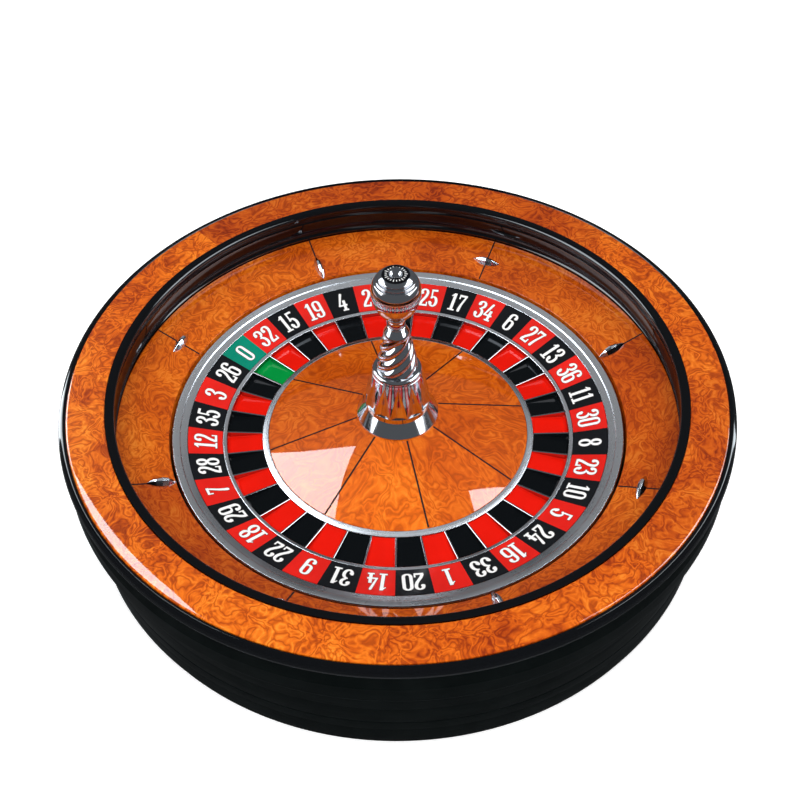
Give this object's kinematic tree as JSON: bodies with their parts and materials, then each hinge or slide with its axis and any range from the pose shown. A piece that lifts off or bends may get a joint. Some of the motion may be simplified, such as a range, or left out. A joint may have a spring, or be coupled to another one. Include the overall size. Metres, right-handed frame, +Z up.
{
  "type": "roulette wheel",
  "caption": "Full-size casino roulette wheel: veneered bowl with ball track and deflectors, and a numbered rotor with pockets and turret on ball bearings.",
  "frame": {"origin": "centre of the felt ring's underside, on the rotor's axis", "axes": "+Z up along the rotor's axis; -Y towards the player in front, +X to that player's right"},
  "size_m": [0.8088, 0.8088, 0.3555],
  "materials": {
    "burl_veneer": "burl veneer, orange stain, clear gloss lacquer",
    "gloss_black": "gloss black moulding",
    "satin_black": "satin black lacquer on wood",
    "bare_board": "plain board",
    "green_felt": "felt",
    "turned_aluminium": "lathe-turned, clear finish",
    "chrome": "polished chrome",
    "steel": "machined steel",
    "cast_aluminium": "machined casting",
    "number_lacquer": "red, black and green segments with white numerals, gloss",
    "pocket_lacquer": "red, black and green pads, gloss"
  },
  "bodies": {
    "bowl": {"felt_ring": "green_felt", "base_board": "bare_board", "upper_drum_ring": "satin_black", "middle_drum_ring": "satin_black", "lower_drum_ring": "satin_black", "well_wall": "bare_board", "rim_core": "bare_board", "rim_skirt": "satin_black", "rim_edge_bead": "gloss_black", "rim_veneer_ring": "burl_veneer", "ball_track_ring": "gloss_black", "apron_ring": "burl_veneer", "deflector_1": "chrome", "deflector_2": "chrome", "deflector_3": "chrome", "deflector_4": "chrome", "deflector_5": "chrome", "deflector_6": "chrome", "deflector_7": "chrome", "deflector_8": "chrome", "spindle_plate": "steel", "plate_screw_1": "steel", "plate_screw_2": "steel", "plate_screw_3": "steel", "plate_screw_4": "steel", "spindle": "steel", "spindle_nut": "steel", "lower_inner_race": "steel", "upper_inner_race": "steel"},
    "rotor": {"bearing_housing": "cast_aluminium", "lower_outer_race": "steel", "upper_outer_race": "steel", "rotor_disc": "cast_aluminium", "hub_screw_1": "steel", "hub_screw_2": "steel", "hub_screw_3": "steel", "hub_screw_4": "steel", "number_rim_ring": "turned_aluminium", "number_band": "number_lacquer", "fret_section_1": "turned_aluminium", "fret_section_2": "turned_aluminium", "fret_section_3": "turned_aluminium", "fret_section_4": "turned_aluminium", "fret_section_5": "turned_aluminium", "fret_section_6": "turned_aluminium", "fret_section_7": "turned_aluminium", "fret_section_8": "turned_aluminium", "pocket_floor": "pocket_lacquer", "pocket_inner_ring": "turned_aluminium", "cone_cover": "burl_veneer", "hub_cap": "cast_aluminium", "turret_rod": "steel", "turret_flange": "chrome", "turret_bell": "chrome", "turret_column": "chrome", "turret_neck": "chrome", "turret_knob": "chrome", "turret_button": "chrome"},
    "lower_ball_set": {"lower_ball_cage": "steel"},
    "upper_ball_set": {"upper_ball_cage": "steel"}
  },
  "joints": [
    {"name": "rotor_spin", "type": "hinge", "parent": "bowl", "child": "rotor", "pos_m": [0, 0, 0.1], "axis": [0, 0, 1], "continuous": true},
    {"name": "lower_cage_creep", "type": "hinge", "parent": "bowl", "child": "lower_ball_set", "pos_m": [0, 0, 0.0455], "axis": [0, 0, 1], "continuous": true},
    {"name": "upper_cage_creep", "type": "hinge", "parent": "bowl", "child": "upper_ball_set", "pos_m": [0, 0, 0.0995], "axis": [0, 0, 1], "continuous": true}
  ],
  "couplings": [
    {"joint": "lower_cage_creep", "follows": "rotor_spin", "ratio": 0.6031},
    {"joint": "upper_cage_creep", "follows": "rotor_spin", "ratio": 0.6031}
  ]
}
